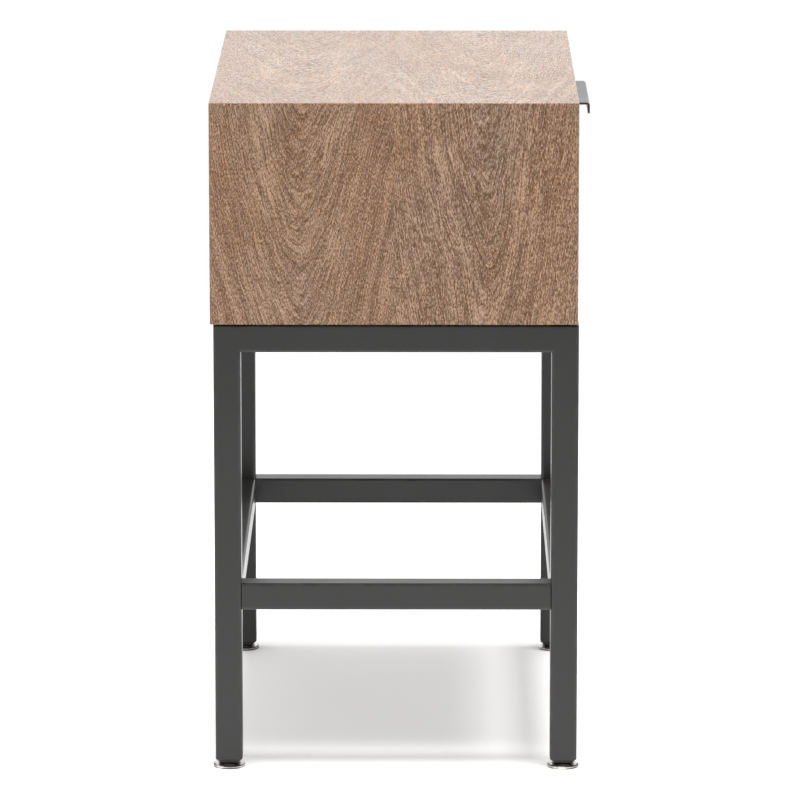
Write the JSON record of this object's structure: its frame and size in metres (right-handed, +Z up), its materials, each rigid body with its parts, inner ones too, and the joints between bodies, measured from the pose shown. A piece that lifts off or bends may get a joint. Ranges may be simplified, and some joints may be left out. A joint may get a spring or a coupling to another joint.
{
  "type": "side table",
  "caption": "Side table: mitred oak-veneered case with an inset drawer and bent-metal edge pull, on a square-tube steel frame with levelling glides.",
  "frame": {"origin": "on the floor under the middle of the table's bounding box, pull included", "axes": "+Z up, the drawer front faces -Y, +X to the table's right when facing its front"},
  "size_m": [0.5096, 0.3576, 0.635],
  "materials": {
    "oak_veneer": "satin lacquered oak veneer with open pores",
    "birch": "clear lacquered birch plywood",
    "beech": "raw beech dowel",
    "dark_steel": "semi-gloss charcoal powder coat",
    "nickel": "bright nickel plate",
    "zinc_steel": "bright zinc plate",
    "black_plastic": "fine-textured moulded plastic",
    "cage_plastic": "moulded cage",
    "brass_insert": "machined",
    "black_oxide": "black oxide steel",
    "rubber": "soft bumper rubber"
  },
  "bodies": {
    "table": {"leg_front_left": "dark_steel", "leg_front_right": "dark_steel", "leg_back_left": "dark_steel", "leg_back_right": "dark_steel", "top_rail_left": "dark_steel", "top_rail_right": "dark_steel", "top_rail_front": "dark_steel", "top_rail_back": "dark_steel", "stretcher_left": "dark_steel", "stretcher_right": "dark_steel", "stretcher_front": "dark_steel", "stretcher_back": "dark_steel", "leg_plugs": "black_plastic", "plug_nuts": "zinc_steel", "frame_washers": "black_plastic", "frame_bolts": "black_oxide", "frame_inserts": "brass_insert", "rail_hole_caps": "black_plastic", "top_panel": "oak_veneer", "side_panel_left": "oak_veneer", "side_panel_right": "oak_veneer", "bottom_panel": "oak_veneer", "back_panel": "oak_veneer", "mitre_splines": "beech", "case_dowels": "beech", "slide_case_member_left": "zinc_steel", "slide_case_member_right": "zinc_steel", "slide_case_screws": "zinc_steel"},
    "drawer": {"drawer_front": "oak_veneer", "drawer_side_left": "birch", "drawer_side_right": "birch", "drawer_box_front": "birch", "drawer_box_back": "birch", "drawer_bottom": "birch", "drawer_dowels": "beech", "drawer_pull": "dark_steel", "pull_screws": "zinc_steel", "drawer_front_screws": "zinc_steel", "drawer_bumpers": "rubber", "slide_drawer_member_left": "zinc_steel", "slide_drawer_member_right": "zinc_steel", "slide_drawer_screws": "zinc_steel"},
    "slide_middle_left": {"slide_middle_member_left": "zinc_steel"},
    "outer_cage_left": {"outer_cage_left": "cage_plastic", "outer_balls_left": "zinc_steel"},
    "inner_cage_left": {"inner_cage_left": "cage_plastic", "inner_balls_left": "zinc_steel"},
    "slide_middle_right": {"slide_middle_member_right": "zinc_steel"},
    "outer_cage_right": {"outer_cage_right": "cage_plastic", "outer_balls_right": "zinc_steel"},
    "inner_cage_right": {"inner_cage_right": "cage_plastic", "inner_balls_right": "zinc_steel"},
    "glide_base_front_left": {"glide_base_front_left": "nickel"},
    "glide_stem_front_left": {"glide_stem_front_left": "zinc_steel"},
    "glide_base_front_right": {"glide_base_front_right": "nickel"},
    "glide_stem_front_right": {"glide_stem_front_right": "zinc_steel"},
    "glide_base_back_left": {"glide_base_back_left": "nickel"},
    "glide_stem_back_left": {"glide_stem_back_left": "zinc_steel"},
    "glide_base_back_right": {"glide_base_back_right": "nickel"},
    "glide_stem_back_right": {"glide_stem_back_right": "zinc_steel"}
  },
  "joints": [
    {"name": "drawer_slide", "type": "slide", "parent": "table", "child": "drawer", "axis": [0, -1, 0], "range_m": [0, 0.29]},
    {"name": "slide_middle_left_run", "type": "slide", "parent": "table", "child": "slide_middle_left", "axis": [0, -1, 0], "range_m": [0, 0.145]},
    {"name": "outer_cage_left_run", "type": "slide", "parent": "table", "child": "outer_cage_left", "axis": [0, -1, 0], "range_m": [0, 0.0725]},
    {"name": "inner_cage_left_run", "type": "slide", "parent": "table", "child": "inner_cage_left", "axis": [0, -1, 0], "range_m": [0, 0.2175]},
    {"name": "slide_middle_right_run", "type": "slide", "parent": "table", "child": "slide_middle_right", "axis": [0, -1, 0], "range_m": [0, 0.145]},
    {"name": "outer_cage_right_run", "type": "slide", "parent": "table", "child": "outer_cage_right", "axis": [0, -1, 0], "range_m": [0, 0.0725]},
    {"name": "inner_cage_right_run", "type": "slide", "parent": "table", "child": "inner_cage_right", "axis": [0, -1, 0], "range_m": [0, 0.2175]},
    {"name": "glide_front_left_height", "type": "slide", "parent": "table", "child": "glide_base_front_left", "axis": [0, 0, -1], "range_m": [0, 0.012]},
    {"name": "glide_front_left_turn", "type": "hinge", "parent": "glide_base_front_left", "child": "glide_stem_front_left", "pos_m": [-0.2398, -0.1525, 0], "axis": [0, 0, -1], "continuous": true},
    {"name": "glide_front_right_height", "type": "slide", "parent": "table", "child": "glide_base_front_right", "axis": [0, 0, -1], "range_m": [0, 0.012]},
    {"name": "glide_front_right_turn", "type": "hinge", "parent": "glide_base_front_right", "child": "glide_stem_front_right", "pos_m": [0.2398, -0.1525, 0], "axis": [0, 0, -1], "continuous": true},
    {"name": "glide_back_left_height", "type": "slide", "parent": "table", "child": "glide_base_back_left", "axis": [0, 0, -1], "range_m": [0, 0.012]},
    {"name": "glide_back_left_turn", "type": "hinge", "parent": "glide_base_back_left", "child": "glide_stem_back_left", "pos_m": [-0.2398, 0.1631, 0], "axis": [0, 0, -1], "continuous": true},
    {"name": "glide_back_right_height", "type": "slide", "parent": "table", "child": "glide_base_back_right", "axis": [0, 0, -1], "range_m": [0, 0.012]},
    {"name": "glide_back_right_turn", "type": "hinge", "parent": "glide_base_back_right", "child": "glide_stem_back_right", "pos_m": [0.2398, 0.1631, 0], "axis": [0, 0, -1], "continuous": true}
  ],
  "couplings": [
    {"joint": "slide_middle_left_run", "follows": "drawer_slide", "ratio": 0.5},
    {"joint": "outer_cage_left_run", "follows": "drawer_slide", "ratio": 0.25},
    {"joint": "inner_cage_left_run", "follows": "drawer_slide", "ratio": 0.75},
    {"joint": "slide_middle_right_run", "follows": "drawer_slide", "ratio": 0.5},
    {"joint": "outer_cage_right_run", "follows": "drawer_slide", "ratio": 0.25},
    {"joint": "inner_cage_right_run", "follows": "drawer_slide", "ratio": 0.75},
    {"joint": "glide_front_left_turn", "follows": "glide_front_left_height", "rad_per_m": 5026.5},
    {"joint": "glide_front_right_turn", "follows": "glide_front_right_height", "rad_per_m": 5026.5},
    {"joint": "glide_back_left_turn", "follows": "glide_back_left_height", "rad_per_m": 5026.5},
    {"joint": "glide_back_right_turn", "follows": "glide_back_right_height", "rad_per_m": 5026.5}
  ]
}
